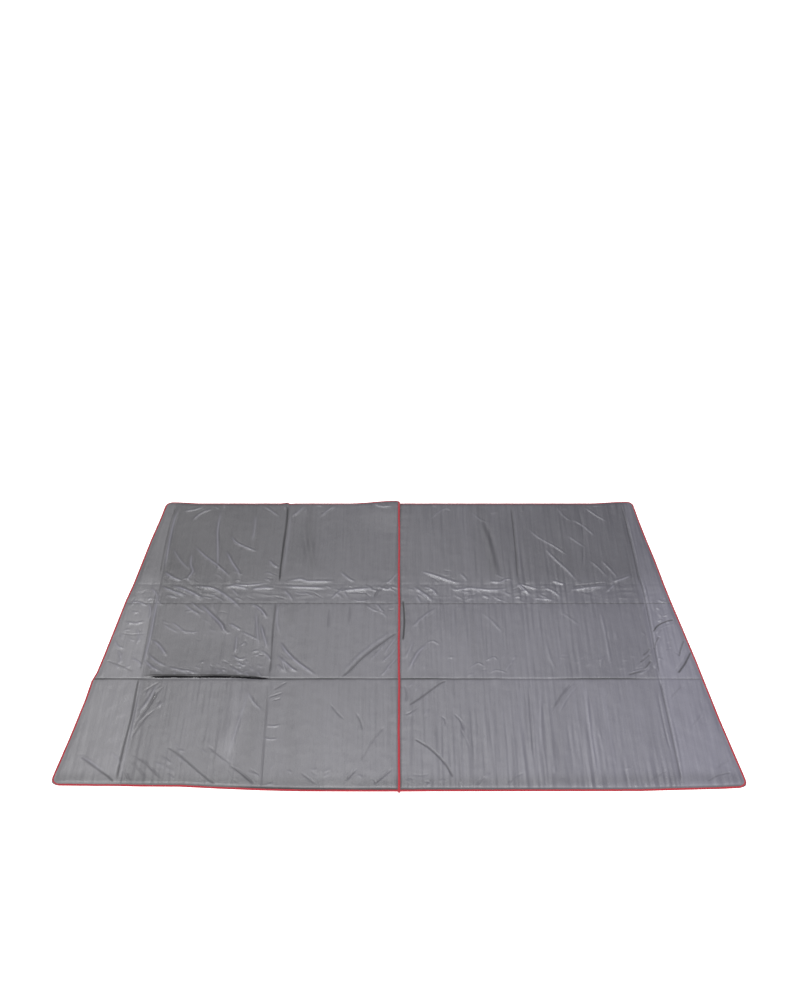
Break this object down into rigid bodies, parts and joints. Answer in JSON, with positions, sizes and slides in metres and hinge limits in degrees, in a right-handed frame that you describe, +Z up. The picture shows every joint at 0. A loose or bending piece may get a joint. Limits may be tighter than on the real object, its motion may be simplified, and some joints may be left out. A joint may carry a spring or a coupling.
{
  "type": "folding padded ground blanket",
  "caption": "Large padded ground blanket of satin-coated cloth, tapered at both ends, that folds along seven lines; bound with narrow tape.",
  "frame": {"origin": "on the ground, under the middle of the blanket lying open and flat", "axes": "+X along the long side, to the right seen from the wide near edge; +Y from the wide near edge to the narrow far edge; +Z up, through the blanket's thickness"},
  "size_m": [3.0096, 2.04, 0.006],
  "materials": {
    "cover_cloth": "satin",
    "foam_pad": "matte",
    "binding_tape": "matte"
  },
  "bodies": {
    "near_left_flap": {"flap_near_left": "cover_cloth", "binding_near_left_flap": "binding_tape"},
    "near_left_outer": {"cover_near_left_outer": "cover_cloth", "pad_near_left_outer": "foam_pad", "binding_near_left_outer": "binding_tape"},
    "near_left_inner": {"cover_near_left_inner": "cover_cloth", "pad_near_left_inner": "foam_pad", "binding_near_left_inner": "binding_tape", "centre_binding_near": "binding_tape"},
    "near_right_inner": {"cover_near_right_inner": "cover_cloth", "pad_near_right_inner": "foam_pad", "binding_near_right_inner": "binding_tape", "fold_strip_near_right_inner": "cover_cloth"},
    "near_right_outer": {"cover_near_right_outer": "cover_cloth", "pad_near_right_outer": "foam_pad", "binding_near_right_outer": "binding_tape"},
    "near_right_flap": {"flap_near_right": "cover_cloth", "binding_near_right_flap": "binding_tape"},
    "middle_left_flap": {"flap_middle_left": "cover_cloth", "binding_middle_left_flap": "binding_tape"},
    "middle_left_outer": {"cover_middle_left_outer": "cover_cloth", "pad_middle_left_outer": "foam_pad"},
    "middle_left_inner": {"cover_middle_left_inner": "cover_cloth", "pad_middle_left_inner": "foam_pad", "centre_binding_middle": "binding_tape"},
    "middle_right_inner": {"cover_middle_right_inner": "cover_cloth", "pad_middle_right_inner": "foam_pad"},
    "middle_right_outer": {"cover_middle_right_outer": "cover_cloth", "pad_middle_right_outer": "foam_pad"},
    "middle_right_flap": {"flap_middle_right": "cover_cloth", "binding_middle_right_flap": "binding_tape"},
    "far_left_flap": {"flap_far_left": "cover_cloth", "binding_far_left_flap": "binding_tape"},
    "far_left_outer": {"cover_far_left_outer": "cover_cloth", "pad_far_left_outer": "foam_pad", "binding_far_left_outer": "binding_tape"},
    "far_left_inner": {"cover_far_left_inner": "cover_cloth", "pad_far_left_inner": "foam_pad", "binding_far_left_inner": "binding_tape", "centre_binding_far": "binding_tape"},
    "far_right_inner": {"cover_far_right_inner": "cover_cloth", "pad_far_right_inner": "foam_pad", "binding_far_right_inner": "binding_tape", "fold_strip_far_right_inner": "cover_cloth"},
    "far_right_outer": {"cover_far_right_outer": "cover_cloth", "pad_far_right_outer": "foam_pad", "binding_far_right_outer": "binding_tape"},
    "far_right_flap": {"flap_far_right": "cover_cloth", "binding_far_right_flap": "binding_tape"},
    "near_strip_left_flap": {"fold_strip_near_left_flap": "cover_cloth"},
    "near_strip_left_outer": {"fold_strip_near_left_outer": "cover_cloth"},
    "near_strip_left_inner": {"fold_strip_near_left_inner": "cover_cloth"},
    "near_strip_right_outer": {"fold_strip_near_right_outer": "cover_cloth"},
    "near_strip_right_flap": {"fold_strip_near_right_flap": "cover_cloth"},
    "far_strip_left_flap": {"fold_strip_far_left_flap": "cover_cloth"},
    "far_strip_left_outer": {"fold_strip_far_left_outer": "cover_cloth"},
    "far_strip_left_inner": {"fold_strip_far_left_inner": "cover_cloth"},
    "far_strip_right_outer": {"fold_strip_far_right_outer": "cover_cloth"},
    "far_strip_right_flap": {"fold_strip_far_right_flap": "cover_cloth"}
  },
  "joints": [
    {"name": "near_third_fold", "type": "hinge", "parent": "middle_right_inner", "child": "near_right_inner", "pos_m": [0.304, -0.34, 0.0075], "axis": [1, 0, 0], "range_deg": [-180, 0]},
    {"name": "far_third_fold", "type": "hinge", "parent": "middle_right_inner", "child": "far_right_inner", "pos_m": [0.304, 0.34, 0.0115], "axis": [-1, 0, 0], "range_deg": [-180, 0]},
    {"name": "centre_fold", "type": "hinge", "parent": "middle_right_inner", "child": "middle_left_inner", "pos_m": [0, 0, 0.024], "axis": [0, 1, 0], "range_deg": [0, 180]},
    {"name": "left_quarter_fold", "type": "hinge", "parent": "middle_left_inner", "child": "middle_left_outer", "pos_m": [-0.608, 0, 0.0115], "axis": [0, 1, 0], "range_deg": [0, 180]},
    {"name": "left_flap_fold", "type": "hinge", "parent": "middle_left_outer", "child": "middle_left_flap", "pos_m": [-1.216, 0, 0.0075], "axis": [0, 1, 0], "range_deg": [0, 180]},
    {"name": "right_quarter_fold", "type": "hinge", "parent": "middle_right_inner", "child": "middle_right_outer", "pos_m": [0.608, 0, 0.0115], "axis": [0, -1, 0], "range_deg": [0, 180]},
    {"name": "right_flap_fold", "type": "hinge", "parent": "middle_right_outer", "child": "middle_right_flap", "pos_m": [1.216, 0, 0.0075], "axis": [0, -1, 0], "range_deg": [0, 180]},
    {"name": "near_centre_fold", "type": "hinge", "parent": "near_right_inner", "child": "near_left_inner", "pos_m": [0, -0.68, 0.024], "axis": [0, 1, 0], "range_deg": [0, 180]},
    {"name": "near_left_quarter_fold", "type": "hinge", "parent": "near_left_inner", "child": "near_left_outer", "pos_m": [-0.608, -0.68, 0.0115], "axis": [0, 1, 0], "range_deg": [0, 180]},
    {"name": "near_left_flap_fold", "type": "hinge", "parent": "near_left_outer", "child": "near_left_flap", "pos_m": [-1.216, -0.68, 0.0075], "axis": [0, 1, 0], "range_deg": [0, 180]},
    {"name": "near_right_quarter_fold", "type": "hinge", "parent": "near_right_inner", "child": "near_right_outer", "pos_m": [0.608, -0.68, 0.0115], "axis": [0, -1, 0], "range_deg": [0, 180]},
    {"name": "near_right_flap_fold", "type": "hinge", "parent": "near_right_outer", "child": "near_right_flap", "pos_m": [1.216, -0.68, 0.0075], "axis": [0, -1, 0], "range_deg": [0, 180]},
    {"name": "far_centre_fold", "type": "hinge", "parent": "far_right_inner", "child": "far_left_inner", "pos_m": [0, 0.68, 0.024], "axis": [0, 1, 0], "range_deg": [0, 180]},
    {"name": "far_left_quarter_fold", "type": "hinge", "parent": "far_left_inner", "child": "far_left_outer", "pos_m": [-0.608, 0.68, 0.0115], "axis": [0, 1, 0], "range_deg": [0, 180]},
    {"name": "far_left_flap_fold", "type": "hinge", "parent": "far_left_outer", "child": "far_left_flap", "pos_m": [-1.216, 0.68, 0.0075], "axis": [0, 1, 0], "range_deg": [0, 180]},
    {"name": "far_right_quarter_fold", "type": "hinge", "parent": "far_right_inner", "child": "far_right_outer", "pos_m": [0.608, 0.68, 0.0115], "axis": [0, -1, 0], "range_deg": [0, 180]},
    {"name": "far_right_flap_fold", "type": "hinge", "parent": "far_right_outer", "child": "far_right_flap", "pos_m": [1.216, 0.68, 0.0075], "axis": [0, -1, 0], "range_deg": [0, 180]},
    {"name": "near_strip_left_flap_fold", "type": "hinge", "parent": "middle_left_flap", "child": "near_strip_left_flap", "pos_m": [-1.3, -0.34, 0.0075], "axis": [1, 0, 0], "range_deg": [-180, 0]},
    {"name": "near_strip_left_outer_fold", "type": "hinge", "parent": "middle_left_outer", "child": "near_strip_left_outer", "pos_m": [-0.912, -0.34, 0.0075], "axis": [1, 0, 0], "range_deg": [-180, 0]},
    {"name": "near_strip_left_inner_fold", "type": "hinge", "parent": "middle_left_inner", "child": "near_strip_left_inner", "pos_m": [-0.304, -0.34, 0.0075], "axis": [1, 0, 0], "range_deg": [-180, 0]},
    {"name": "near_strip_right_outer_fold", "type": "hinge", "parent": "middle_right_outer", "child": "near_strip_right_outer", "pos_m": [0.912, -0.34, 0.0075], "axis": [1, 0, 0], "range_deg": [-180, 0]},
    {"name": "near_strip_right_flap_fold", "type": "hinge", "parent": "middle_right_flap", "child": "near_strip_right_flap", "pos_m": [1.3, -0.34, 0.0075], "axis": [1, 0, 0], "range_deg": [-180, 0]},
    {"name": "far_strip_left_flap_fold", "type": "hinge", "parent": "middle_left_flap", "child": "far_strip_left_flap", "pos_m": [-1.3, 0.34, 0.0115], "axis": [-1, 0, 0], "range_deg": [-180, 0]},
    {"name": "far_strip_left_outer_fold", "type": "hinge", "parent": "middle_left_outer", "child": "far_strip_left_outer", "pos_m": [-0.912, 0.34, 0.0115], "axis": [-1, 0, 0], "range_deg": [-180, 0]},
    {"name": "far_strip_left_inner_fold", "type": "hinge", "parent": "middle_left_inner", "child": "far_strip_left_inner", "pos_m": [-0.304, 0.34, 0.0115], "axis": [-1, 0, 0], "range_deg": [-180, 0]},
    {"name": "far_strip_right_outer_fold", "type": "hinge", "parent": "middle_right_outer", "child": "far_strip_right_outer", "pos_m": [0.912, 0.34, 0.0115], "axis": [-1, 0, 0], "range_deg": [-180, 0]},
    {"name": "far_strip_right_flap_fold", "type": "hinge", "parent": "middle_right_flap", "child": "far_strip_right_flap", "pos_m": [1.3, 0.34, 0.0115], "axis": [-1, 0, 0], "range_deg": [-180, 0]}
  ],
  "couplings": [
    {"joint": "near_centre_fold", "follows": "centre_fold", "ratio": 1},
    {"joint": "near_left_quarter_fold", "follows": "left_quarter_fold", "ratio": 1},
    {"joint": "near_left_flap_fold", "follows": "left_flap_fold", "ratio": 1},
    {"joint": "near_right_quarter_fold", "follows": "right_quarter_fold", "ratio": 1},
    {"joint": "near_right_flap_fold", "follows": "right_flap_fold", "ratio": 1},
    {"joint": "far_centre_fold", "follows": "centre_fold", "ratio": 1},
    {"joint": "far_left_quarter_fold", "follows": "left_quarter_fold", "ratio": 1},
    {"joint": "far_left_flap_fold", "follows": "left_flap_fold", "ratio": 1},
    {"joint": "far_right_quarter_fold", "follows": "right_quarter_fold", "ratio": 1},
    {"joint": "far_right_flap_fold", "follows": "right_flap_fold", "ratio": 1},
    {"joint": "near_strip_left_flap_fold", "follows": "near_third_fold", "ratio": 1},
    {"joint": "near_strip_left_outer_fold", "follows": "near_third_fold", "ratio": 1},
    {"joint": "near_strip_left_inner_fold", "follows": "near_third_fold", "ratio": 1},
    {"joint": "near_strip_right_outer_fold", "follows": "near_third_fold", "ratio": 1},
    {"joint": "near_strip_right_flap_fold", "follows": "near_third_fold", "ratio": 1},
    {"joint": "far_strip_left_flap_fold", "follows": "far_third_fold", "ratio": 1},
    {"joint": "far_strip_left_outer_fold", "follows": "far_third_fold", "ratio": 1},
    {"joint": "far_strip_left_inner_fold", "follows": "far_third_fold", "ratio": 1},
    {"joint": "far_strip_right_outer_fold", "follows": "far_third_fold", "ratio": 1},
    {"joint": "far_strip_right_flap_fold", "follows": "far_third_fold", "ratio": 1}
  ]
}
